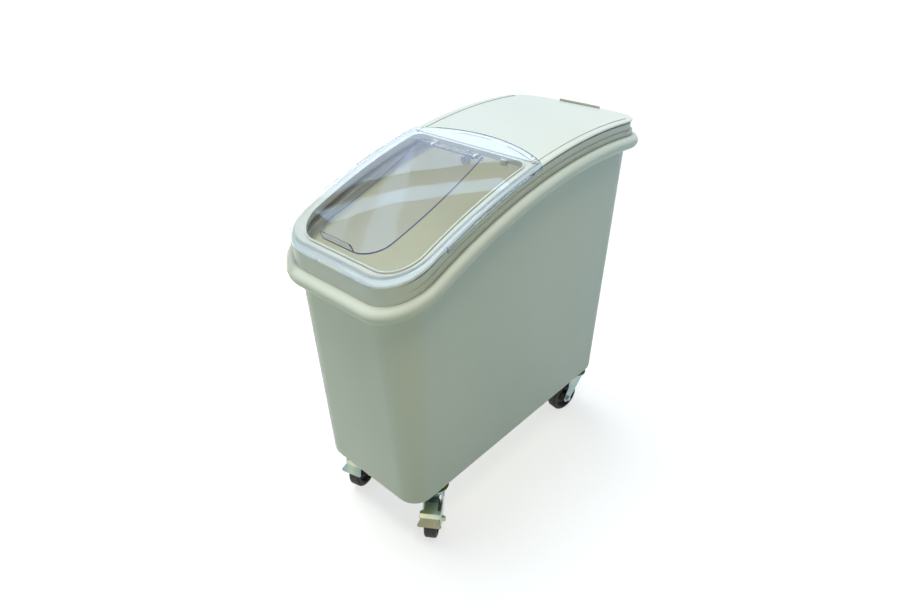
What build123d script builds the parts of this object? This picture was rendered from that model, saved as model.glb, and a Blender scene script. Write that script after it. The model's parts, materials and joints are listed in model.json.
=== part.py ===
from build123d import *
import math
import os

os.makedirs("parts", exist_ok=True)

# Clearances
seat_gap = 0.3
running_gap = 0.05
fit_gap = 0.05

# Casters
heading_front_right = -55.0
heading_front_left = -75.0
heading_rear_right = -100.0
heading_rear_left = -88.0
wheel_radius = 37.5
wheel_width = 25.0
tyre_thick = 9.0
tyre_round = 5.0
trail = 35.0
fork_gap = 33.0
fork_sheet = 3.0
crown_headroom = 23.0
crown_top = 2 * wheel_radius + crown_headroom
crown_radius = 28.0
crown_flare = 7.0
crown_neck_radius = 22.5
crown_front = 22.0
crown_back = -18.0
fork_end_radius = 11.0
plate_length = 60.0
plate_width = 44.0
plate_sheet = 2.5
plate_corner = 8.0
cup_radius = 21.0
cup_sheet = 2.0
race_thick = 3.65
ball_radius = 2.6
ball_circle = 14.5
ball_count = 8
kingpin_radius = 5.0
kingpin_head_radius = 9.0
kingpin_head = 4.0
axle_radius = 4.0
axle_head_radius = 6.5
axle_head = 3.2
axle_dome_radius = 5.2
axle_dome = 3.8
axle_dome_round = 3.0
sleeve_radius = 6.0
hub_boss_radius = 11.0
hub_web = 7.0
hub_rim = 4.0
hub_rim_inset = 2.0
screw_radius = 3.0
screw_head_radius = 5.5
screw_head = 3.2
screw_pitch_long = 48.0
screw_pitch_short = 33.0
screw_bite = 4.5

# Brake: the pedal reaches back from its pivot over the rear of the tyre
pivot_lead = 16.0
pivot_drop = 12.0
pivot_radius = 2.5
pivot_head = 1.6
pedal_sheet = 2.0
pedal_barrel = 4.4
pedal_neck_lead = 5.0
pedal_neck_width = 25.0
pedal_roll_inset = 9.5
pedal_roll_drop = 19.0
pedal_roll_width = 40.0
pedal_roll_length = 8.0
pedal_waist_inset = 6.5
pedal_waist_drop = 27.5
pedal_waist_width = 36.0
pedal_tip_reach = 5.5
pedal_tip_drop = 39.5
pedal_tip_width = 52.0
pedal_corner = 3.5
pedal_rib_width = 18.0
pedal_rib_height = 1.2
pedal_rib_length = 5.0
tyre_rear = trail + wheel_radius
pedal_pivot = (pivot_lead, crown_top - pivot_drop)
pedal_neck = (trail + pedal_neck_lead, crown_top - pivot_drop)
pedal_roll = (tyre_rear - pedal_roll_inset, crown_top - pedal_roll_drop)
pedal_waist = (tyre_rear - pedal_waist_inset, crown_top - pedal_waist_drop)
pedal_tip = (tyre_rear + pedal_tip_reach, crown_top - pedal_tip_drop)

# The bearing, the caster plate and the gaps between them carry the tub
ball_z = crown_top + seat_gap + ball_radius
race_low = ball_z + ball_radius + fit_gap
plate_low = race_low + race_thick
tub_underside = plate_low + plate_sheet + seat_gap

# Curved seam between tub and lid: an arc about an axis along X, below the tub
arc_y = 185.0
arc_depth = 513.0
arc_z = tub_underside - arc_depth
arc_radius = 1096.0
seam_half_width = 150.0
seam_half_length = 339.5
seam_corner = 72.5

# Tub
tub_side_taper = 21.0
tub_front_taper = 36.0
tub_rear_taper = 24.0
tub_half_width = seam_half_width - tub_side_taper
tub_front = -seam_half_length + tub_front_taper
tub_rear = seam_half_length - tub_rear_taper
tub_corner = 41.0
tub_bottom_round = 12.0
tub_wall = 4.0
tub_floor = 7.0
rim_reach = 15.0
rim_height = 25.0
rim_round = 12.0
rim_sheet = 4.0
wall_inset_side = 11.0
wall_inset_end = 9.0
caster_side_inset = 34.0
caster_front_inset = 86.5
caster_rear_inset = 38.5
caster_x = tub_half_width - caster_side_inset
caster_front_y = tub_front + caster_front_inset
caster_rear_y = tub_rear - caster_rear_inset

# Lid: heights are measured from the seam
lid_height = 29.0
lid_sheet = 3.0
roll_width = 10.0
roll_round = 4.5
frame_sink = 1.5
frame_margin = 9.0
groove_drop = 2.6
groove_width = 3.8
groove_high = lid_height - groove_drop
groove_low = groove_high - groove_width
groove_depth = 4.5
band_low = 10.0
band_lap = 0.4
band_high = groove_low + band_lap
band_depth = 2.5
taper_lead = 1.15
ridge_low = 6.5
ridge_high = 9.0
ridge_proud = 1.0
plug_depth = 8.0
plug_sheet = 2.5
plug_clearance = 2.5
opening_side_margin = 23.5
opening_front_margin = 25.5
opening_half_width = seam_half_width - opening_side_margin
opening_front = -seam_half_length + opening_front_margin
opening_rear = -20.0
opening_front_corner = 52.0
opening_rear_corner = 18.0
flange_sheet = 3.0
flange_depth = 8.0
flange_low = lid_height - flange_depth
border_proud = 1.2
border_width = 3.0
border_round = 0.9
rail_side_margin = 16.5
rail_front_lead = 6.0
rail_rear_margin = 55.5
rail_x = seam_half_width - rail_side_margin
rail_width = 3.5
rail_front = opening_rear + rail_front_lead
rail_rear = seam_half_length - rail_rear_margin
stop_half_width = 48.0
stop_margin = 7.5
stop_y = seam_half_length - stop_margin
stop_thick = 4.0
stop_proud = 4.5
tab_x = 79.0
tab_width = 12.0
tab_drop = 5.0
hook_width = 6.0
hook_depth = 8.0
hook_drop = 25.0
hook_curl = 17.0
hook_tip = 6.0

# Clear cover
cover_sheet = 2.5
cover_side_gap = 0.9
cover_low = lid_height + border_proud + seat_gap + cover_sheet
cover_low_y = -60.0
cover_front_rise = 7.0
cover_edge_round = 9.0
skirt_clearance = 0.8
front_skirt_low = lid_height + border_proud + skirt_clearance
side_skirt_drop = 7.0
side_skirt_low = lid_height - side_skirt_drop
side_skirt_start = 99.5
side_skirt_front = -seam_half_length + side_skirt_start
side_skirt_rear = rail_front
cover_bow = 40.0
lip_length = 14.0
lip_gap = 0.7
lip_low = groove_low + lip_gap
lip_high = groove_high - lip_gap
lip_reach = 2.6
notch_half_width = 31.0
notch_rise = 5.0
cover_band = 11.0
cover_band_proud = 0.8
dimple_margin = 28.0
dimple_lead = 12.0
dimple_x = seam_half_width - dimple_margin
dimple_y = side_skirt_rear + dimple_lead
dimple_radius = 3.4
dimple_hole = 1.4

# Inner flap
flap_sheet = 2.5
flap_side_margin = 14.5
flap_front_margin = 24.0
flap_left = -opening_half_width + flap_side_margin
flap_right = 38.0
flap_front_drop = 17.0
flap_mid_drop = 28.8
flap_front_corner = 46.0
hinge_margin = 9.0
hinge_drop = 8.3
hinge_barrel = 3.6
hinge_rod = 2.0
lug_width = 6.0
lug_left = -79.0
lug_right = 22.0
pull_left = -80.0
pull_right = -3.0
pull_height = 15.0
pull_lean = 6.0
pull_corner = 6.0

wide = 4.0 * seam_half_length
tall = 900.0


def column(outward):
    # Upright prism whose outline lies outward of the seam outline
    plan = RectangleRounded(
        2 * (seam_half_width + outward),
        2 * (seam_half_length + outward),
        seam_corner + outward,
    )
    return extrude(plan, tall)


def drum(height):
    # Everything under the arc that runs at this height over the seam
    return Pos(0, arc_y, arc_z) * Rot(0, 90, 0) * Cylinder(arc_radius + height, wide)


def layer(low, high):
    return drum(high) - drum(low)


def block(x0, x1, y0, y1, z0, z1):
    centre = ((x0 + x1) / 2, (y0 + y1) / 2, (z0 + z1) / 2)
    return Pos(*centre) * Box(x1 - x0, y1 - y0, z1 - z0)


def ahead_of(y):
    return block(-wide, wide, -wide, y, 0, tall)


def arc_height(y, height):
    # Z of the arc at this Y
    return arc_z + math.sqrt((arc_radius + height) ** 2 - (y - arc_y) ** 2)


hinge_y = opening_rear - hinge_margin
hinge_z = arc_height(hinge_y, lid_height - hinge_drop)
flap_front_y = opening_front + flap_front_margin
flap_front = (flap_front_y, arc_height(flap_front_y, lid_height - flap_front_drop))
flap_mid_y = (hinge_y + flap_front_y) / 2
flap_mid = (flap_mid_y, arc_height(flap_mid_y, lid_height - flap_mid_drop))


def arc_faces(solid):
    # The two widest round faces are the ones along the arc
    return solid.faces().filter_by(GeomType.CYLINDER).sort_by(SortBy.AREA)[-2:]


def top_edges(solid):
    return arc_faces(solid).sort_by(Axis.Z)[-1].edges()


def outline(half_width, front, rear, corner):
    middle = (front + rear) / 2
    return Pos(0, middle, 0) * RectangleRounded(2 * half_width, rear - front, corner)


def save(name, shape):
    shape.label = name
    export_step(shape, "parts/" + name + ".step")


# Tub: tapered walls that widen upward at their own drafts
front_top = arc_height(-seam_half_length, 0) - rim_height
rear_top = arc_height(seam_half_length, 0) - rim_height
apex = arc_z + arc_radius + rim_height
side_slope = (seam_half_width - wall_inset_side - tub_half_width) / (front_top - tub_underside)
front_slope = (seam_half_length - wall_inset_end + tub_front) / (front_top - tub_underside)
rear_slope = (seam_half_length - wall_inset_end - tub_rear) / (rear_top - tub_underside)
corner_slope = (seam_corner - wall_inset_side - tub_corner) / (front_top - tub_underside)


def tub_section(height, inset):
    rise = height - tub_underside
    return Pos(0, 0, height) * outline(
        tub_half_width + side_slope * rise - inset,
        tub_front - front_slope * rise + inset,
        tub_rear + rear_slope * rise - inset,
        tub_corner + corner_slope * rise - inset,
    )


tub_body = loft([tub_section(tub_underside, 0), tub_section(apex, 0)], ruled=True)
tub_body = fillet(tub_body.faces().sort_by(Axis.Z)[0].edges(), tub_bottom_round)
tub_inside = tub_underside + tub_floor
tub_space = loft([tub_section(tub_inside, tub_wall), tub_section(apex, tub_wall)], ruled=True)
tub_space = fillet(tub_space.faces().sort_by(Axis.Z)[0].edges(), tub_bottom_round - tub_wall)
rim = column(rim_reach) & layer(-rim_height, 0)
rim = fillet(arc_faces(rim)[0].edges() + arc_faces(rim)[1].edges(), rim_round)
rim_hollow = column(rim_reach - rim_sheet) - column(0)
rim_hollow = rim_hollow & layer(-rim_height - seat_gap, -rim_sheet)
tub = (tub_body & drum(0)) + rim - rim_hollow - tub_space

# Lid shell: a closed panel behind, ahead of it a sunken frame with a rounded roll along its edge
panel_front = opening_rear + frame_margin
lid = column(0) & layer(seat_gap, lid_height)
lid = fillet(top_edges(lid), roll_round)
sunk = column(-roll_width / 2) & layer(lid_height - frame_sink, lid_height + rim_reach)
roll = (column(0) - column(-roll_width)) & layer(ridge_low, lid_height)
roll = fillet(top_edges(roll), roll_round)
lid = lid - (sunk & ahead_of(panel_front)) + (roll & ahead_of(panel_front))


def side_outline(outward):
    # Outline that crosses the seam outline at the front corners and lies outward of it along the sides
    front = -seam_half_length + taper_lead * outward
    return outline(seam_half_width + outward, front, seam_half_length + outward, seam_corner)


def recess(depth, low, high):
    return (column(rim_reach) - extrude(side_outline(-depth), tall)) & layer(low, high)


lid = lid + (extrude(side_outline(ridge_proud), tall) & layer(ridge_low, ridge_high))
lid = lid - recess(band_depth, band_low, band_high) - recess(groove_depth, groove_low, groove_high)
lid = lid - (column(-lid_sheet) & drum(ridge_low))
panel_space = drum(lid_height - lid_sheet) - ahead_of(panel_front + lid_sheet)
frame_space = drum(lid_height - lid_sheet - frame_sink)
lid = lid - (column(-groove_depth - lid_sheet) & (panel_space + frame_space))

# Plug lip that drops into the mouth of the tub
plug_inset = wall_inset_side + tub_wall + plug_clearance
plug = (column(-plug_inset) - column(-plug_inset - plug_sheet)) & layer(-plug_depth, lid_sheet)
ledge = (column(-lid_sheet / 2) - column(-plug_inset - plug_sheet / 2)) & layer(seat_gap, lid_sheet)
lid = lid + plug + ledge


def opening(outward):
    # Prism through the front opening, with tighter corners at the rear
    half_width = opening_half_width + outward
    front = opening_front - outward
    tight = outline(half_width, front, opening_rear + outward, opening_rear_corner + outward)
    wide_front = outline(half_width, front, opening_rear + wide, opening_front_corner + outward)
    return extrude(tight, tall) & extrude(wide_front, tall)


flange = (opening(flange_sheet) - opening(0)) & layer(flange_low, lid_height)
border = (opening(border_width) - opening(0)) & layer(flange_low, lid_height + border_proud)
border = fillet(top_edges(border), border_round)
lid = lid + flange + border - (opening(0) & layer(lid_sheet + plug_sheet, lid_height + rim_reach))

# Rails, rear stop, tabs and scoop hook
for side in (-1, 1):
    rail = block(
        side * rail_x - rail_width / 2,
        side * rail_x + rail_width / 2,
        rail_front,
        rail_rear,
        0,
        tall,
    )
    lid = lid + (rail & layer(lid_height - lid_sheet, lid_height + border_proud))
    tab = block(
        side * tab_x - tab_width / 2,
        side * tab_x + tab_width / 2,
        opening_rear - flange_sheet,
        opening_rear + flange_sheet,
        0,
        tall,
    )
    lid = lid + (tab & layer(flange_low - tab_drop, lid_height - lid_sheet))
stop = block(-stop_half_width, stop_half_width, stop_y - stop_thick / 2, stop_y + stop_thick / 2, 0, tall)
lid = lid + (stop & layer(lid_height - lid_sheet, lid_height + stop_proud))

hook_top = arc_height(opening_rear, flange_low) + flange_sheet
hook_low = hook_top - hook_drop
hook_bend = (hook_curl - hook_width) / 2
hook_side = -2 * hook_bend
hook_turn = hook_low + hook_bend
hook_line = Polyline((0, hook_top), (0, hook_turn))
hook_line += ThreePointArc((0, hook_turn), (-hook_bend, hook_low), (hook_side, hook_turn))
hook_line += Line((hook_side, hook_turn), (hook_side, hook_turn + hook_tip))
hook_sketch = trace(hook_line, hook_width)
hook = Pos(0, opening_rear + flange_sheet, 0) * extrude(Plane.XZ * hook_sketch, hook_depth)
lid = lid + hook

# Hinge lugs on the rear wall of the opening
lug_bore = hinge_rod + running_gap
for x in (lug_left, lug_right):
    lug_round = Pos(x, hinge_y, hinge_z) * Rot(0, 90, 0) * Cylinder(hinge_barrel, lug_width)
    lug_arm = block(
        x - lug_width / 2,
        x + lug_width / 2,
        hinge_y,
        opening_rear + flange_sheet,
        hinge_z - hinge_barrel,
        hinge_z + hinge_barrel,
    )
    lid = lid + lug_round + lug_arm
lid = lid - (Pos(0, hinge_y, hinge_z) * Rot(0, 90, 0) * Cylinder(lug_bore, wide / 4))

# Clear cover: a cap whose top rises toward the front
cover_front = -seam_half_length - cover_side_gap - cover_sheet
cover_rear = side_skirt_rear + cover_bow


def cover_top(height):
    # Everything under the cover's top surface, or under a surface this far below it
    def point(y, extra):
        return (y, arc_height(y, cover_low + extra - height))

    middle = point(cover_low_y, 0.0)
    span = (cover_low_y - cover_front) ** 2
    behind_y = cover_rear + rim_reach
    behind = point(behind_y, cover_front_rise * (behind_y - cover_low_y) ** 2 / span)
    outer_y = cover_front - rim_reach
    outer = point(outer_y, cover_front_rise * (outer_y - cover_low_y) ** 2 / span)
    side = ThreePointArc(outer, middle, behind)
    side += Polyline(behind, (behind_y, 0), (outer_y, 0), outer)
    return extrude(Plane.YZ * make_face(side), wide / 2, both=True)


def cap(outward, height, low, edge_round):
    solid = column(outward) & cover_top(height)
    solid = solid - drum(low)
    top = solid.faces().filter_by(GeomType.CYLINDER).sort_by(SortBy.AREA)[-2:].sort_by(Axis.Z)[-1]
    rear_y = top.bounding_box().max.Y
    edges = [edge for edge in top.edges() if edge.center().Y < rear_y - cover_sheet]
    return fillet(edges, edge_round)


cover = cap(cover_side_gap + cover_sheet, 0, side_skirt_low, cover_edge_round)
cover_inside_round = cover_edge_round - cover_sheet
cover = cover - cap(cover_side_gap, cover_sheet, side_skirt_low - cover_sheet, cover_inside_round)
cover = cover - (drum(front_skirt_low) & ahead_of(side_skirt_front))
for side in (-1, 1):
    lip_outer = side * (seam_half_width + cover_side_gap + cover_sheet / 2)
    lip_inner = side * (seam_half_width + cover_side_gap - lip_reach)
    for lip_front in (side_skirt_front, side_skirt_rear - 2 * lip_length):
        lip = block(
            min(lip_outer, lip_inner),
            max(lip_outer, lip_inner),
            lip_front,
            lip_front + lip_length,
            0,
            tall,
        )
        cover = cover + (lip & layer(lip_low, lip_high))
notch = block(-notch_half_width, notch_half_width, -wide, cover_front + rim_reach, 0, tall)
notch = fillet(notch.edges().filter_by(Axis.Y), notch_rise / 2)
cover = cover - (notch & drum(front_skirt_low + notch_rise))

# Bowed rear edge with a raised band along it
half = seam_half_width + cover_side_gap + cover_sheet
bow_radius = (half**2 + cover_bow**2) / (2 * cover_bow)
bow_y = cover_rear - bow_radius
bow = Pos(0, bow_y, tall / 2) * Cylinder(bow_radius, tall)
cover = cover & (bow + ahead_of(side_skirt_rear - cover_band))
bow_band = bow - Pos(0, bow_y, tall / 2) * Cylinder(bow_radius - cover_band, tall)
bow_band = bow_band & block(-rail_x, rail_x, side_skirt_rear - cover_band, wide, 0, tall)
cover = cover + (bow_band & (cover_top(-cover_band_proud) - cover_top(cover_sheet / 2)))
for side in (-1, 1):
    dimple = Pos(side * dimple_x, dimple_y, tall / 2)
    ring = dimple * Cylinder(dimple_radius, tall)
    cover = cover + (ring & (cover_top(-cover_band_proud) - cover_top(cover_sheet / 2)))
    cover = cover - (dimple * Cylinder(dimple_hole, tall) - cover_top(cover_sheet / 2))

# Inner flap: a bent clear plate on a hinge rod, with an upstanding pull tab
flap_back = (hinge_y - hinge_barrel + flap_sheet / 2, hinge_z)
flap_line = ThreePointArc(flap_back, flap_mid, flap_front)
flap_side = trace(flap_line, flap_sheet)
flap = Pos(flap_left, 0, 0) * extrude(Plane.YZ * flap_side, flap_right - flap_left)
flap_plan = Rectangle(flap_right - flap_left, flap_back[0] - flap_front[0] + flap_sheet)
flap_plan = fillet(flap_plan.vertices().group_by(Axis.Y)[0], flap_front_corner)
flap_plan = Pos((flap_left + flap_right) / 2, (flap_back[0] + flap_front[0]) / 2, 0) * flap_plan
flap = flap & extrude(flap_plan, tall)
pull_side = Polyline(
    (flap_front[0] + flap_sheet / 2, flap_front[1] - flap_sheet / 2),
    (flap_front[0] + flap_sheet / 2 - pull_lean, flap_front[1] + pull_height),
    (flap_front[0] - flap_sheet / 2 - pull_lean, flap_front[1] + pull_height),
    (flap_front[0] - flap_sheet / 2, flap_front[1] - flap_sheet / 2),
    close=True,
)
pull = Pos(pull_left, 0, 0) * extrude(Plane.YZ * make_face(pull_side), pull_right - pull_left)
pull = fillet(pull.faces().sort_by(Axis.Z)[-1].edges().filter_by(Axis.Y), pull_corner)
flap = flap + pull
barrel = Pos((flap_left + flap_right) / 2, hinge_y, hinge_z)
barrel = barrel * Rot(0, 90, 0) * Cylinder(hinge_barrel, flap_right - flap_left)
flap = flap + barrel
for x in (lug_left, lug_right):
    flap = flap - block(
        x - lug_width / 2 - seat_gap,
        x + lug_width / 2 + seat_gap,
        hinge_y - hinge_barrel - flap_sheet,
        wide,
        0,
        tall,
    )
flap = flap - (Pos(0, hinge_y, hinge_z) * Rot(0, 90, 0) * Cylinder(hinge_rod + running_gap, wide / 4))
flap_rod_length = lug_right - lug_left + lug_width
flap_rod = Pos((lug_left + lug_right) / 2, hinge_y, hinge_z)
flap_rod = flap_rod * Rot(0, 90, 0) * Cylinder(hinge_rod, flap_rod_length)


# Casters: each is drawn with its wheel trailing along +X and its axle along Y
def upright(radius, low, high):
    return Pos(0, 0, (low + high) / 2) * Cylinder(radius, high - low)


def crosswise(radius, left, right, x, z):
    return Pos(x, (left + right) / 2, z) * Rot(90, 0, 0) * Cylinder(radius, right - left)


def turned(points):
    # Body of revolution about the axle from (distance along axle, radius) points
    profile = make_face(Polyline(*points, close=True))
    solid = revolve(Plane.XY * profile, Axis.X)
    return Pos(trail, 0, wheel_radius) * Rot(0, 0, 90) * solid


crown_low = crown_top - fork_sheet
leg_outer = fork_gap / 2 + fork_sheet
screw_spots = [
    (x * screw_pitch_short / 2, y * screw_pitch_long / 2) for x in (-1, 1) for y in (-1, 1)
]


def make_plate():
    plate = extrude(RectangleRounded(plate_width, plate_length, plate_corner), plate_sheet)
    plate = Pos(0, 0, plate_low) * plate
    plate = plate + upright(cup_radius, race_low, plate_low)
    cup = upright(cup_radius, ball_z, race_low) - upright(cup_radius - cup_sheet, ball_z, race_low)
    plate = fillet((plate + cup).edges().filter_by(GeomType.CIRCLE).group_by(Axis.Z)[0][-1:], cup_sheet / 3)
    plate = plate - upright(kingpin_radius + fit_gap, 0, tall)
    for x, y in screw_spots:
        plate = plate - Pos(x, y, 0) * upright(screw_radius + fit_gap, 0, tall)
    return plate


def make_balls():
    spots = PolarLocations(ball_circle, ball_count)
    return Compound(children=[Pos(0, 0, ball_z) * spot * Sphere(ball_radius) for spot in spots])


def make_kingpin():
    head_high = crown_low - seat_gap
    shaft = upright(kingpin_radius, head_high, tub_underside - seat_gap)
    head = upright(kingpin_head_radius, head_high - kingpin_head, head_high)
    head = fillet(head.edges().group_by(Axis.Z)[0], kingpin_head / 2)
    return shaft + head


def make_fork(braked):
    top = Line((crown_back, crown_top), (crown_front, crown_top))
    end = Pos(trail, wheel_radius) * Circle(fork_end_radius)
    side = make_hull([top, *end.edges()])
    fork = extrude(Plane.XZ * side, leg_outer, both=True)
    inside = Pos(0, 0, crown_low / 2) * Box(wide, fork_gap, crown_low)
    long_edges = fork.edges().filter_by(Axis.X).group_by(Axis.Z)[-1]
    fork = fillet(long_edges, fork_sheet + cup_sheet)
    inside = fillet(inside.edges().filter_by(Axis.X).group_by(Axis.Z)[-1], cup_sheet)
    flare_middle = Pos(0, 0, crown_top - crown_flare / 2)
    flare = flare_middle * Cone(crown_neck_radius, crown_radius, crown_flare)
    hollow = Pos(0, 0, -fork_sheet) * flare
    fork = fork - inside + (flare - hollow) + upright(crown_radius, crown_low, crown_top)
    fork = fork - upright(kingpin_radius + running_gap, 0, tall)
    fork = fork - crosswise(axle_radius + fit_gap, -wide, wide, trail, wheel_radius)
    if braked:
        fork = fork - crosswise(pivot_radius + fit_gap, -wide, wide, *pedal_pivot)
    return fork


def domed_hexagon():
    dome = upright(axle_dome_radius, 0, axle_head + axle_dome)
    dome = fillet(dome.edges().group_by(Axis.Z)[-1], axle_dome_round)
    return extrude(RegularPolygon(axle_head_radius, 6), axle_head) + dome


def make_axle_bolt():
    head_left = leg_outer + fit_gap
    shaft = crosswise(axle_radius, -leg_outer - axle_head, head_left, trail, wheel_radius)
    return shaft + Pos(trail, head_left, wheel_radius) * Rot(-90, 0, 0) * domed_hexagon()


def make_axle_nut():
    nut = Pos(trail, -leg_outer - fit_gap, wheel_radius) * Rot(90, 0, 0)
    blind = -leg_outer - axle_head - fit_gap
    return nut * domed_hexagon() - crosswise(axle_radius + fit_gap, blind, wide, trail, wheel_radius)


def make_axle_sleeve():
    reach = fork_gap / 2 - fit_gap
    sleeve = crosswise(sleeve_radius, -reach, reach, trail, wheel_radius)
    return sleeve - crosswise(axle_radius + fit_gap, -wide, wide, trail, wheel_radius)


def make_hub():
    boss = fork_gap / 2 - seat_gap
    rim_side = wheel_width / 2 - hub_rim_inset
    outer = wheel_radius - tyre_thick
    inner = outer - hub_rim
    bore = sleeve_radius + running_gap
    half_side = [
        (boss, bore),
        (boss, hub_boss_radius),
        (hub_web / 2, hub_boss_radius + hub_rim),
        (hub_web / 2, inner),
        (rim_side, inner + hub_rim_inset),
        (rim_side, outer),
    ]
    mirror_side = [(-along, radius) for along, radius in reversed(half_side)]
    return turned(half_side + mirror_side)


def make_tyre():
    inner = wheel_radius - tyre_thick + fit_gap
    profile = Rectangle(wheel_width, tyre_thick - fit_gap)
    profile = fillet(profile.vertices().group_by(Axis.Y)[-1], tyre_round)
    profile = Pos(0, inner + (tyre_thick - fit_gap) / 2) * profile
    tyre = revolve(Plane.XY * profile, Axis.X)
    return Pos(trail, 0, wheel_radius) * Rot(0, 0, 90) * tyre


def make_pedal():
    # Bent sheet: a narrow neck, a wider bend and a flared tread plate with a raised rib
    roll_x = pedal_roll[0]
    waist_x, waist_z = pedal_waist
    tip_x, tip_z = pedal_tip
    side = trace(Polyline(pedal_pivot, pedal_neck, pedal_roll, pedal_waist, pedal_tip), pedal_sheet)
    pedal = extrude(Plane.XZ * side, pedal_tip_width / 2, both=True)
    half_plan = Polyline(
        (0, 0),
        (0, pedal_neck_width / 2),
        (roll_x - pedal_roll_length, pedal_neck_width / 2),
        (roll_x - pedal_roll_length / 2, pedal_roll_width / 2),
        (roll_x + pedal_sheet / 2, pedal_roll_width / 2),
        (waist_x + pedal_sheet / 2, pedal_waist_width / 2),
        (tip_x + pedal_sheet, pedal_tip_width / 2),
        (tip_x + pedal_sheet, 0),
        close=True,
    )
    plan = make_face(half_plan)
    plan = plan + mirror(plan, Plane.XZ)
    pedal = pedal & extrude(plan, tall)
    tip_corners = pedal.edges().filter_by(lambda edge: edge.length < 2 * pedal_sheet).group_by(Axis.X)[-1]
    pedal = fillet(tip_corners, pedal_corner)
    slope = math.degrees(math.atan2(waist_z - tip_z, tip_x - waist_x))
    rib_base = Pos((waist_x + tip_x) / 2, 0, (waist_z + tip_z) / 2) * Rot(0, slope, 0)
    rib_rise = pedal_sheet / 2 + pedal_rib_height
    rib = rib_base * Pos(0, 0, rib_rise / 2) * Box(pedal_rib_length, pedal_rib_width, rib_rise)
    pedal = pedal + rib
    pedal = pedal + crosswise(pedal_barrel, -pedal_neck_width / 2, pedal_neck_width / 2, *pedal_pivot)
    return pedal - crosswise(pivot_radius + running_gap, -wide, wide, *pedal_pivot)


def make_pivot():
    shaft = crosswise(pivot_radius, -leg_outer - fit_gap, leg_outer + fit_gap, *pedal_pivot)
    for side in (-1, 1):
        near = side * (leg_outer + fit_gap)
        far = side * (leg_outer + fit_gap + pivot_head)
        shaft = shaft + crosswise(pedal_barrel, min(near, far), max(near, far), *pedal_pivot)
    return shaft


casters = {
    "front_right": (caster_x, caster_front_y, heading_front_right, True),
    "front_left": (-caster_x, caster_front_y, heading_front_left, True),
    "rear_right": (caster_x, caster_rear_y, heading_rear_right, False),
    "rear_left": (-caster_x, caster_rear_y, heading_rear_left, False),
}

screws = []
for place, (x, y, heading, braked) in casters.items():
    fixed = Pos(x, y, 0)
    swung = fixed * Rot(0, 0, heading)
    save("caster_plate_" + place, fixed * make_plate())
    save("bearing_balls_" + place, fixed * make_balls())
    save("kingpin_" + place, fixed * make_kingpin())
    save("fork_" + place, swung * make_fork(braked))
    save("axle_bolt_" + place, swung * make_axle_bolt())
    save("axle_nut_" + place, swung * make_axle_nut())
    save("axle_sleeve_" + place, swung * make_axle_sleeve())
    save("wheel_hub_" + place, swung * make_hub())
    save("tyre_" + place, swung * make_tyre())
    if braked:
        save("brake_pedal_" + place, swung * make_pedal())
        save("brake_pivot_" + place, swung * make_pivot())
    for screw_x, screw_y in screw_spots:
        spot = fixed * Pos(screw_x, screw_y, 0)
        tub = tub - spot * upright(screw_radius + fit_gap, 0, tub_underside + screw_bite + seat_gap)
        head_high = plate_low - fit_gap
        screw = upright(screw_radius, head_high, tub_underside + screw_bite)
        screw = screw + upright(screw_head_radius, head_high - screw_head, head_high)
        screws.append(spot * screw)

save("caster_screws", Compound(children=screws))
save("tub", tub)
save("lid", lid)
save("clear_cover", cover)
save("inner_flap", flap)
save("flap_hinge_rod", flap_rod)
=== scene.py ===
import json
import math

import bpy
import bmesh
from mathutils import Matrix, Vector

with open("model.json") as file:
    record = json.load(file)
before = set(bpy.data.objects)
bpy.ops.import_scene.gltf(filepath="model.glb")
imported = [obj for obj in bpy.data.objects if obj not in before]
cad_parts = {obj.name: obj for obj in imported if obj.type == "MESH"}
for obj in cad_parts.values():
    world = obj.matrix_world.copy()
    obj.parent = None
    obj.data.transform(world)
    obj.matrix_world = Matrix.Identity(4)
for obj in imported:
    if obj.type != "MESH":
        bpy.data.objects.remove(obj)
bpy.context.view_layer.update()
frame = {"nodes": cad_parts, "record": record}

nodes = frame["nodes"]
scene = bpy.context.scene
scene.view_settings.view_transform = "Standard"

# camera where the photo was taken from
cameraSet = {
    "place": (0.7182, -0.8541, 1.0598),
    "pitch": 58.685,
    "roll": 0.0,
    "turn": 42.463,
    "lens": 25.62,
    "sensor": 36.0,
    "farthest": 60.0,
}


def putCamera():
    data = bpy.data.cameras.new("photoCamera")
    data.lens = cameraSet["lens"]
    data.sensor_width = cameraSet["sensor"]
    data.sensor_fit = "HORIZONTAL"
    data.clip_end = cameraSet["farthest"]
    camera = bpy.data.objects.new("photoCamera", data)
    scene.collection.objects.link(camera)
    camera.location = cameraSet["place"]
    camera.rotation_euler = [math.radians(cameraSet[angle]) for angle in ("pitch", "roll", "turn")]
    scene.camera = camera


putCamera()
print("camera placed")


# steps that the node trees are put together from
def numberStep(tree, operation, first, second=None):
    step = tree.nodes.new("ShaderNodeMath")
    step.operation = operation
    tree.links.new(first, step.inputs[0])
    if isinstance(second, float):
        step.inputs[1].default_value = second
    elif second is not None:
        tree.links.new(second, step.inputs[1])
    return step.outputs[0]


def vectorStep(tree, operation, first, second=None):
    step = tree.nodes.new("ShaderNodeVectorMath")
    step.operation = operation
    tree.links.new(first, step.inputs[0])
    if second is not None:
        step.inputs[1].default_value = second
    return step.outputs["Value" if operation == "LENGTH" else "Vector"]


def partsOf(tree, vector):
    parts = tree.nodes.new("ShaderNodeSeparateXYZ")
    tree.links.new(vector, parts.inputs[0])
    return parts.outputs


def spread(tree, value, start, end, outStart=0.0, outEnd=1.0):
    span = tree.nodes.new("ShaderNodeMapRange")
    span.inputs["From Min"].default_value = start
    span.inputs["From Max"].default_value = end
    span.inputs["To Min"].default_value = outStart
    span.inputs["To Max"].default_value = outEnd
    tree.links.new(value, span.inputs["Value"])
    return span.outputs["Result"]


def between(tree, share, first, second):
    # goes from the first value to the second as the share goes from none to whole
    return spread(tree, share, 0.0, 1.0, first, second)


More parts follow.
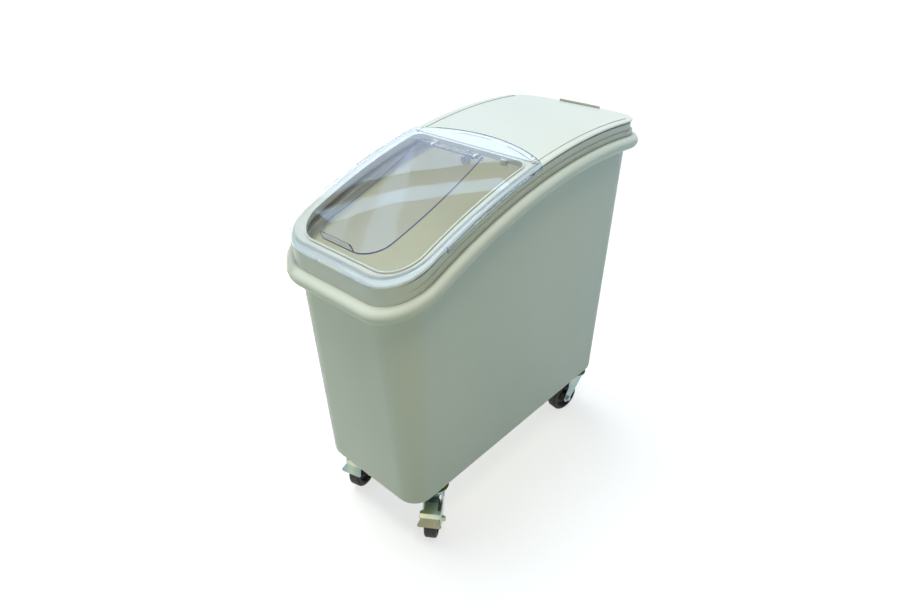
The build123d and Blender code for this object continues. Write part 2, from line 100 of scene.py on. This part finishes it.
def mixShaders(tree, share, first, second):
    mix = tree.nodes.new("ShaderNodeMixShader")
    for source, socket in zip((share, first, second), mix.inputs):
        tree.links.new(source, socket)
    return mix.outputs[0]


# plain pale floor, cool soft light from above, a warm soft box on the camera's side
# and cool ones on the far sides
stageSet = {
    "floorHalf": 30.0,
    "floorShow": (0.46, 0.46, 0.46, 1.0),
    "floorGlow": 0.68,
    "floorBounce": (0.325, 0.38, 0.3, 1.0),
    "skyColor": (0.93, 1.0, 1.0, 1.0),
    "skyPower": 0.14,
    "palePower": 1.0,
    "paleLow": 1.0,
    "paleTop": 0.4,
    "paleFrom": 0.3,
    "paleTo": 0.62,
    "firstBounce": 0.5,
    "keyPower": 2.2,
    "keyColor": (0.84, 0.93, 1.0),
    "keyAngle": 34.0,
    "keyTilt": (1.0, -17.0, 0.0),
    "boxAlong": (1.0, 0.0, 0.0),
}
warmFill = {
    "name": "warmFill",
    "place": (0.72, -0.55, 2.4),
    "aim": (0.12, -0.1, 0.62),
    "size": (0.6, 0.6),
    "power": 9.0,
    "color": (1.0, 0.92, 0.62),
    "mirrored": True,
}
cornerFill = {
    "name": "cornerFill",
    "place": (1.05, -1.05, 1.0),
    "aim": (0.1, -0.3, 0.4),
    "size": (0.5, 0.5),
    "power": 1.1,
    "color": (1.0, 0.92, 0.7),
    "mirrored": True,
}
coolFill = {
    "name": "coolFill",
    "place": (0.2, 1.1, 2.6),
    "aim": (0.0, 0.2, 0.7),
    "size": (1.0, 1.0),
    "power": 6.5,
    "color": (0.3, 0.64, 1.0),
    "mirrored": False,
}
sideFill = {
    "name": "sideFill",
    "place": (1.5, 1.4, 0.9),
    "aim": (0.12, 0.3, 0.4),
    "size": (0.8, 0.8),
    "power": 4.0,
    "color": (0.08, 0.46, 1.0),
    "mirrored": True,
}
frontFill = {
    "name": "frontFill",
    "place": (-0.9, -1.7, 0.7),
    "aim": (-0.05, -0.33, 0.4),
    "size": (0.9, 0.9),
    "power": 2.0,
    "color": (0.42, 0.74, 1.0),
    "mirrored": True,
}
# low on the left, so that the milky wall lets warm light into the tub
leftFill = {
    "name": "leftFill",
    "place": (-1.7, -0.05, 0.35),
    "aim": (-0.13, -0.05, 0.36),
    "along": (0.0, 1.0, 0.0),
    "size": (1.6, 0.6),
    "power": 13.5,
    "color": (1.0, 0.92, 0.42),
    "mirrored": True,
}
# long soft boxes to the left, which the clear cover mirrors as pale blue bands
bandStrip = {
    "name": "bandStrip",
    "place": (-1.63, 0.58, 2.32),
    "aim": (0.02, -0.18, 0.66),
    "along": (0.51, 0.86, 0.04),
    "size": (1.4, 0.12),
    "power": 1.1,
    "color": (0.48, 0.68, 1.0),
    "mirrored": True,
}
rearPanel = {
    "name": "rearPanel",
    "place": (-1.75, 1.0, 2.03),
    "aim": (0.0, -0.1, 0.69),
    "along": (0.53, 0.85, -0.05),
    "size": (1.8, 0.5),
    "power": 4.6,
    "color": (0.52, 0.68, 1.0),
    "mirrored": True,
}
softBoxes = (warmFill, cornerFill, coolFill, sideFill, frontFill, leftFill, bandStrip, rearPanel)


def showsBackground(tree):
    # camera, mirror and clear-plastic rays see the pale background, rays that light a surface don't
    path = tree.nodes.new("ShaderNodeLightPath")
    share = path.outputs["Is Camera Ray"]
    for other in ("Is Glossy Ray", "Is Transmission Ray"):
        share = numberStep(tree, "MAXIMUM", share, path.outputs[other])
    direct = numberStep(tree, "LESS_THAN", path.outputs["Diffuse Depth"], stageSet["firstBounce"])
    return numberStep(tree, "MULTIPLY", share, direct)


def makeWorld():
    world = bpy.data.worlds.new("studio")
    scene.world = world
    world.use_nodes = True
    tree = world.node_tree
    tree.nodes.clear()
    out = tree.nodes.new("ShaderNodeOutputWorld")
    light = tree.nodes.new("ShaderNodeBackground")
    light.inputs["Color"].default_value = stageSet["skyColor"]
    light.inputs["Strength"].default_value = stageSet["skyPower"]
    pale = tree.nodes.new("ShaderNodeBackground")
    pale.inputs["Strength"].default_value = stageSet["palePower"]
    # white to well above eye level, greyer overhead
    place = tree.nodes.new("ShaderNodeTexCoord")
    height = partsOf(tree, place.outputs["Generated"])["Z"]
    levels = (stageSet["paleLow"], stageSet["paleTop"])
    shade = spread(tree, height, stageSet["paleFrom"], stageSet["paleTo"], *levels)
    tree.links.new(shade, pale.inputs["Color"])
    surface = mixShaders(tree, showsBackground(tree), light.outputs[0], pale.outputs[0])
    tree.links.new(surface, out.inputs["Surface"])


def makeFloor():
    mesh = bpy.data.meshes.new("studioFloor")
    bm = bmesh.new()
    bmesh.ops.create_grid(bm, x_segments=1, y_segments=1, size=stageSet["floorHalf"])
    bm.to_mesh(mesh)
    bm.free()
    floor = bpy.data.objects.new("studioFloor", mesh)
    scene.collection.objects.link(floor)
    paint = bpy.data.materials.new("paleFloor")
    paint.use_nodes = True
    tree = paint.node_tree
    tree.nodes.clear()
    out = tree.nodes.new("ShaderNodeOutputMaterial")
    bounce = tree.nodes.new("ShaderNodeBsdfDiffuse")
    bounce.inputs["Color"].default_value = stageSet["floorBounce"]
    shown = tree.nodes.new("ShaderNodeBsdfDiffuse")
    shown.inputs["Color"].default_value = stageSet["floorShow"]
    glow = tree.nodes.new("ShaderNodeEmission")
    glow.inputs["Strength"].default_value = stageSet["floorGlow"]
    bright = tree.nodes.new("ShaderNodeAddShader")
    tree.links.new(shown.outputs[0], bright.inputs[0])
    tree.links.new(glow.outputs[0], bright.inputs[1])
    surface = mixShaders(tree, showsBackground(tree), bounce.outputs[0], bright.outputs[0])
    tree.links.new(surface, out.inputs["Surface"])
    mesh.materials.append(paint)


def faceAlong(place, aim, along):
    # turns a lamp to its aim, with its long side along the given direction
    back = (Vector(place) - Vector(aim)).normalized()
    across = Vector(along)
    across = (across - back * across.dot(back)).normalized()
    up = back.cross(across)
    return Matrix((across, up, back)).transposed().to_euler()


def makeLamps():
    key = bpy.data.lights.new("topLight", "SUN")
    key.energy = stageSet["keyPower"]
    key.color = stageSet["keyColor"]
    key.angle = math.radians(stageSet["keyAngle"])
    lamp = bpy.data.objects.new("topLight", key)
    scene.collection.objects.link(lamp)
    lamp.rotation_euler = [math.radians(angle) for angle in stageSet["keyTilt"]]
    # its broad mirror image would whiten the cover's round edge
    lamp.visible_glossy = False
    for box in softBoxes:
        data = bpy.data.lights.new(box["name"], "AREA")
        data.shape = "RECTANGLE"
        data.size, data.size_y = box["size"]
        data.energy = box["power"]
        data.color = box["color"]
        lamp = bpy.data.objects.new(box["name"], data)
        scene.collection.objects.link(lamp)
        lamp.visible_camera = False
        lamp.visible_glossy = box["mirrored"]
        lamp.location = box["place"]
        lamp.rotation_euler = faceAlong(box["place"], box["aim"], box.get("along", stageSet["boxAlong"]))


makeWorld()
makeFloor()
makeLamps()
print("stage made")


def newMaterial(name):
    material = bpy.data.materials.new(name)
    material.use_nodes = True
    return material, material.node_tree, material.node_tree.nodes["Principled BSDF"]


def objectSpace(tree, scale=(1, 1, 1)):
    place = tree.nodes.new("ShaderNodeTexCoord")
    stretch = tree.nodes.new("ShaderNodeMapping")
    stretch.inputs["Scale"].default_value = scale
    tree.links.new(place.outputs["Object"], stretch.inputs["Vector"])
    return stretch.outputs["Vector"]


def facingParts(tree):
    # the piece's own normal, which turns with the piece
    place = tree.nodes.new("ShaderNodeTexCoord")
    return partsOf(tree, place.outputs["Normal"])


def noise(tree, grain):
    texture = tree.nodes.new("ShaderNodeTexNoise")
    texture.inputs["Scale"].default_value = grain["scale"]
    texture.inputs["Detail"].default_value = grain["detail"]
    texture.inputs["Roughness"].default_value = grain["rough"]
    place = objectSpace(tree, grain["stretch"]) if "stretch" in grain else objectSpace(tree)
    tree.links.new(place, texture.inputs["Vector"])
    return texture.outputs["Fac"]


def patches(tree, grain, least=0.0, most=1.0):
    return spread(tree, noise(tree, grain), *grain["range"], least, most)


def unevenness(tree, grain, under=None):
    bump = tree.nodes.new("ShaderNodeBump")
    bump.inputs["Distance"].default_value = grain["height"]
    bump.inputs["Strength"].default_value = grain["strength"]
    tree.links.new(noise(tree, grain), bump.inputs["Height"])
    if under is not None:
        tree.links.new(under, bump.inputs["Normal"])
    return bump.outputs["Normal"]


def blendColor(tree, share, first, second):
    mix = tree.nodes.new("ShaderNodeMix")
    mix.data_type = "RGBA"
    colors = [socket for socket in mix.inputs if socket.type == "RGBA"]
    tree.links.new(share, mix.inputs[0])
    for socket, value in zip(colors, (first, second)):
        if isinstance(value, tuple):
            socket.default_value = value
        else:
            tree.links.new(value, socket)
    return [socket for socket in mix.outputs if socket.type == "RGBA"][0]


# moulded plastics; pairs say where a share starts and where it is whole,
# and milkyUnder is the height over the seam under which the left wall is milky
tubFinish = {
    "color": (0.84, 0.86, 0.75, 1),
    "shade": (0.81, 0.84, 0.73, 1),
    "scuff": (0.6, 0.61, 0.54, 1),
    # colour of the painted shade in the tub's creases and where the lid sits on its rim
    "creviceShade": (0.3, 0.31, 0.25, 1),
    "ownCrevices": False,
    "smoothest": 0.37,
    "roughest": 0.5,
    "milkyUnder": (0.056, 0.05),
    "reach": 0.03,
}
lidFinish = {
    "color": (0.8, 0.815, 0.74, 1),
    "shade": (0.775, 0.795, 0.72, 1),
    "scuff": (0.64, 0.65, 0.59, 1),
    # colour of the painted shade in the lid's grooves
    "creviceShade": (0.52, 0.52, 0.42, 1),
    "ownCrevices": True,
    "smoothest": 0.31,
    "roughest": 0.44,
    "milkyUnder": (0.02, 0.014),
    "reach": 0.012,
}
# what both have in common; only the left wall is milky, so that light comes through it into the tub
moulding = {
    "mottle": {"scale": 5.0, "detail": 3.0, "rough": 0.55, "range": (0.3, 0.7)},
    "streaks": {
        "scale": 9.0,
        "detail": 5.0,
        "rough": 0.6,
        "stretch": (1.0, 1.0, 0.16),
        "range": (0.38, 0.72),
    },
    "specks": {"scale": 220.0, "detail": 2.0, "rough": 0.5, "range": (0.74, 0.8)},
    "speckShare": 0.35,
    "peel": {"scale": 420.0, "detail": 3.0, "rough": 0.6, "height": 0.00012, "strength": 0.5},
    "wave": {"scale": 7.0, "detail": 2.0, "rough": 0.55, "height": 0.0012, "strength": 0.35},
    # the painted crevice shade comes in as ambient occlusion falls from 0.85 to 0.45, looked for within
    # 12 mm
    "nookDepth": 0.012,
    "nookSamples": 12,
    "nookRange": (0.85, 0.45),
    "gloss": 0.42,
    "milkyWall": (-0.085, -0.1),
    "milkyRadius": (1.0, 1.0, 1.0),
}
# the seam between tub and lid runs on an arc about an axis along X
seamArc = {"axis": (0.0, 0.185, -0.403), "radius": 1.096}


def seamDistance(tree):
    # height over the seam's arc
    place = vectorStep(tree, "SUBTRACT", objectSpace(tree), seamArc["axis"])
    place = vectorStep(tree, "MULTIPLY", place, (0, 1, 1))
    return numberStep(tree, "SUBTRACT", vectorStep(tree, "LENGTH", place), seamArc["radius"])


def mouldedPlastic(name, finish):
    material, tree, shader = newMaterial(name)
    tone = blendColor(tree, patches(tree, moulding["mottle"]), finish["color"], finish["shade"])
    specks = patches(tree, moulding["specks"], most=moulding["speckShare"])
    tone = blendColor(tree, specks, tone, finish["scuff"])
    # painted shade, darker in grooves and creases and, on the tub, also where the lid sits close, from
    # an ambient-occlusion mask
    nook = tree.nodes.new("ShaderNodeAmbientOcclusion")
    nook.inputs["Distance"].default_value = moulding["nookDepth"]
    nook.samples = moulding["nookSamples"]
    nook.only_local = finish["ownCrevices"]
    paintedShade = spread(tree, nook.outputs["AO"], *moulding["nookRange"])
    tone = blendColor(tree, paintedShade, tone, finish["creviceShade"])
    tree.links.new(tone, shader.inputs["Base Color"])
    dull = patches(tree, moulding["streaks"], finish["smoothest"], finish["roughest"])
    tree.links.new(dull, shader.inputs["Roughness"])
    wave = unevenness(tree, moulding["wave"], unevenness(tree, moulding["peel"]))
    tree.links.new(wave, shader.inputs["Normal"])
    shader.inputs["Specular IOR Level"].default_value = moulding["gloss"]
    wall = spread(tree, partsOf(tree, objectSpace(tree))["X"], *moulding["milkyWall"])
    under = spread(tree, seamDistance(tree), *finish["milkyUnder"])
    tree.links.new(numberStep(tree, "MULTIPLY", wall, under), shader.inputs["Subsurface Weight"])
    shader.inputs["Subsurface Radius"].default_value = moulding["milkyRadius"]
    shader.inputs["Subsurface Scale"].default_value = finish["reach"]
    return material


tubPlastic = mouldedPlastic("tubPlastic", tubFinish)
lidPlastic = mouldedPlastic("lidPlastic", lidFinish)

# clear sheet that lets the lamps through, with a tint that shows where it is seen edge on;
# skirt and roll are the cover's outer edge
coverClear = {
    "color": (0.99, 0.995, 1.0, 1),
    # blue of the outer roll and skirt: partly the plastic's tint, partly a painted reflection of blue
    # sky on the rounded edge
    "skirt": (0.64, 0.79, 0.98, 1),
    "skirtAlpha": 0.36,
    "roll": (-0.009, -0.003),
    "edge": (0.9, 0.95, 1.0, 1),
    "lowEdge": (0.3, 0.42, 0.9, 1),
    "edgeClear": 0.25,
    "smoothest": 0.008,
    "roughest": 0.036,
    "index": 1.4,
    "tint": (0.35, 0.55, 0.97, 1),
    "depth": 14.0,
    "wave": {"scale": 6.0, "detail": 1.0, "rough": 0.55, "height": 0.0008, "strength": 1.0},
}
flapClear = {
    "color": (0.98, 0.985, 1.0, 1),
    "edge": (0.2, 0.18, 0.8, 1),
    "edgeClear": 0.15,
    "smoothest": 0.01,
    "roughest": 0.045,
    "index": 1.28,
    "tint": (0.3, 0.3, 0.9, 1),
    "depth": 30.0,
    "wave": {"scale": 5.0, "detail": 1.0, "rough": 0.55, "height": 0.0008, "strength": 1.0},
}
clearHaze = {"scale": 30.0, "detail": 4.0, "rough": 0.55, "range": (0.3, 0.75)}
# plan of the seam, a rectangle with round corners, outside of which the cover's skirt hangs
seamPlan = {"halfWidth": 0.15, "halfLength": 0.3395, "corner": 0.0725}
# how far outside that plan the skirt is, how far back its deeper sides are,
# and which way the faces at the edges look
edgePlaces = {
    "skirt": (0.0006, 0.001),
    "deepSides": (-0.255, -0.245),
    "down": (-0.4, -0.6),
    "back": (0.6, 0.75),
    "ahead": (-0.6, -0.75),
    "aside": (0.2, 0.12),
}


def planDistance(tree):
    # how far a point lies outside the seam's plan
    corner = seamPlan["corner"]
    inset = (seamPlan["halfWidth"] - corner, seamPlan["halfLength"] - corner, 0.0)
    place = vectorStep(tree, "ABSOLUTE", objectSpace(tree, (1, 1, 0)))
    place = vectorStep(tree, "SUBTRACT", place, inset)
    place = vectorStep(tree, "MAXIMUM", place, (0, 0, 0))
    return numberStep(tree, "SUBTRACT", vectorStep(tree, "LENGTH", place), corner)


def flapEdges(tree):
    # the sheet's own faces look up or down, its sawn edges and its pull look sideways
    upward = numberStep(tree, "ABSOLUTE", facingParts(tree)["Z"])
    return {"edge": spread(tree, upward, *edgePlaces["aside"])}


def coverEdges(tree):
    # the bowed rear edge, then the skirt's lower edge with the front ends of its deeper sides
    facing = facingParts(tree)
    rearward = spread(tree, facing["Y"], *edgePlaces["back"])
    skirt = spread(tree, planDistance(tree), *edgePlaces["skirt"])
    low = numberStep(tree, "MULTIPLY", skirt, spread(tree, facing["Z"], *edgePlaces["down"]))
    ends = numberStep(tree, "MULTIPLY", skirt, spread(tree, facing["Y"], *edgePlaces["ahead"]))
    behindFront = spread(tree, partsOf(tree, objectSpace(tree))["Y"], *edgePlaces["deepSides"])
    ends = numberStep(tree, "MULTIPLY", ends, behindFront)
    return {"edge": rearward, "lowEdge": numberStep(tree, "MAXIMUM", low, ends)}


def clearPlastic(name, finish, edgesOf):
    material, tree, shader = newMaterial(name)
    shares = edgesOf(tree)
    edges, *others = shares.values()
    for other in others:
        edges = numberStep(tree, "MAXIMUM", edges, other)
    tone = finish["color"]
    if "skirt" in finish:
        # the outer roll and the skirt are bluer and partly see-through, so that the lid's grooves show,
        # but their edges are whole; the blue is partly the plastic's tint and partly a painted
        # reflection of blue sky
        roll = spread(tree, planDistance(tree), *finish["roll"])
        tone = blendColor(tree, roll, tone, finish["skirt"])
        solid = numberStep(tree, "MAXIMUM", between(tree, roll, 1.0, finish["skirtAlpha"]), edges)
        tree.links.new(solid, shader.inputs["Alpha"])
    for edgeTone, share in shares.items():
        tone = blendColor(tree, share, tone, finish[edgeTone])
    tree.links.new(tone, shader.inputs["Base Color"])
    tree.links.new(between(tree, edges, 1.0, finish["edgeClear"]), shader.inputs["Transmission Weight"])
    shader.inputs["IOR"].default_value = finish["index"]
    haze = patches(tree, clearHaze, finish["smoothest"], finish["roughest"])
    tree.links.new(haze, shader.inputs["Roughness"])
    tree.links.new(unevenness(tree, finish["wave"]), shader.inputs["Normal"])
    # light on its way to other pieces passes straight through
    path = tree.nodes.new("ShaderNodeLightPath")
    surface = shader.outputs[0]
    for ray in ("Is Diffuse Ray", "Is Shadow Ray"):
        through = tree.nodes.new("ShaderNodeBsdfTransparent")
        surface = mixShaders(tree, path.outputs[ray], surface, through.outputs[0])
    tint = tree.nodes.new("ShaderNodeVolumeAbsorption")
    tint.inputs["Color"].default_value = finish["tint"]
    tint.inputs["Density"].default_value = finish["depth"]
    out = tree.nodes["Material Output"]
    tree.links.new(surface, out.inputs["Surface"])
    tree.links.new(tint.outputs[0], out.inputs["Volume"])
    return material


coverPlastic = clearPlastic("coverPlastic", coverClear, coverEdges)
flapPlastic = clearPlastic("flapPlastic", flapClear, flapEdges)

# plated steel with yellow-green and blue-green passivation
zincFinish = {
    "color": (0.42, 0.5, 0.36, 1),
    "tarnish": (0.3, 0.42, 0.46, 1),
    "tarnished": {"scale": 20.0, "detail": 1.5, "rough": 0.5, "range": (0.4, 0.6)},
    "gold": (0.66, 0.64, 0.42, 1),
    "gilded": {
        "scale": 15.0,
        "detail": 1.0,
        "rough": 0.5,
        "stretch": (1.0, 1.3, 0.8),
        "range": (0.52, 0.7),
    },
    "smoothest": 0.15,
    "roughest": 0.25,
    "uneven": {"scale": 900.0, "detail": 2.0, "rough": 0.55, "height": 0.00005, "strength": 0.4},
}


def platedSteel(name, finish):
    material, tree, shader = newMaterial(name)
    patch = patches(tree, finish["tarnished"])
    tone = blendColor(tree, patch, finish["color"], finish["tarnish"])
    tone = blendColor(tree, patches(tree, finish["gilded"]), tone, finish["gold"])
    tree.links.new(tone, shader.inputs["Base Color"])
    shader.inputs["Metallic"].default_value = 1.0
    dull = between(tree, patch, finish["smoothest"], finish["roughest"])
    tree.links.new(dull, shader.inputs["Roughness"])
    tree.links.new(unevenness(tree, finish["uneven"]), shader.inputs["Normal"])
    return material


# dark rubber and wheel centre, both dusty
rubberFinish = {
    "color": (0.018, 0.016, 0.013, 1),
    "dust": (0.042, 0.037, 0.031, 1),
    "smoothest": 0.55,
    "roughest": 0.75,
}
hubFinish = {
    "color": (0.04, 0.038, 0.036, 1),
    "dust": (0.08, 0.076, 0.07, 1),
    "smoothest": 0.48,
    "roughest": 0.68,
}
polymerDust = {"scale": 90.0, "detail": 5.0, "rough": 0.6, "range": (0.45, 0.75)}
polymerGrain = {"scale": 700.0, "detail": 2.0, "rough": 0.55, "height": 0.0001, "strength": 0.5}


def dullPolymer(name, finish):
    material, tree, shader = newMaterial(name)
    dust = patches(tree, polymerDust)
    tree.links.new(blendColor(tree, dust, finish["color"], finish["dust"]), shader.inputs["Base Color"])
    dull = between(tree, dust, finish["smoothest"], finish["roughest"])
    tree.links.new(dull, shader.inputs["Roughness"])
    tree.links.new(unevenness(tree, polymerGrain), shader.inputs["Normal"])
    return material


zinc = platedSteel("brightZinc", zincFinish)
rubber = dullPolymer("wheelRubber", rubberFinish)
hubGrey = dullPolymer("wheelCentre", hubFinish)

finishes = {
    "tub_white": tubPlastic,
    "lid_white": lidPlastic,
    "clear_cover": coverPlastic,
    "clear_flap": flapPlastic,
    "tyre_grey": rubber,
    "hub_grey": hubGrey,
    "plated_steel": zinc,
    "bright_steel": zinc,
}
for part in frame["record"]["subparts"]:
    piece = nodes[part["node"]]
    piece.data.materials.clear()
    piece.data.materials.append(finishes[part["material_slot"]])
print("finishes set")
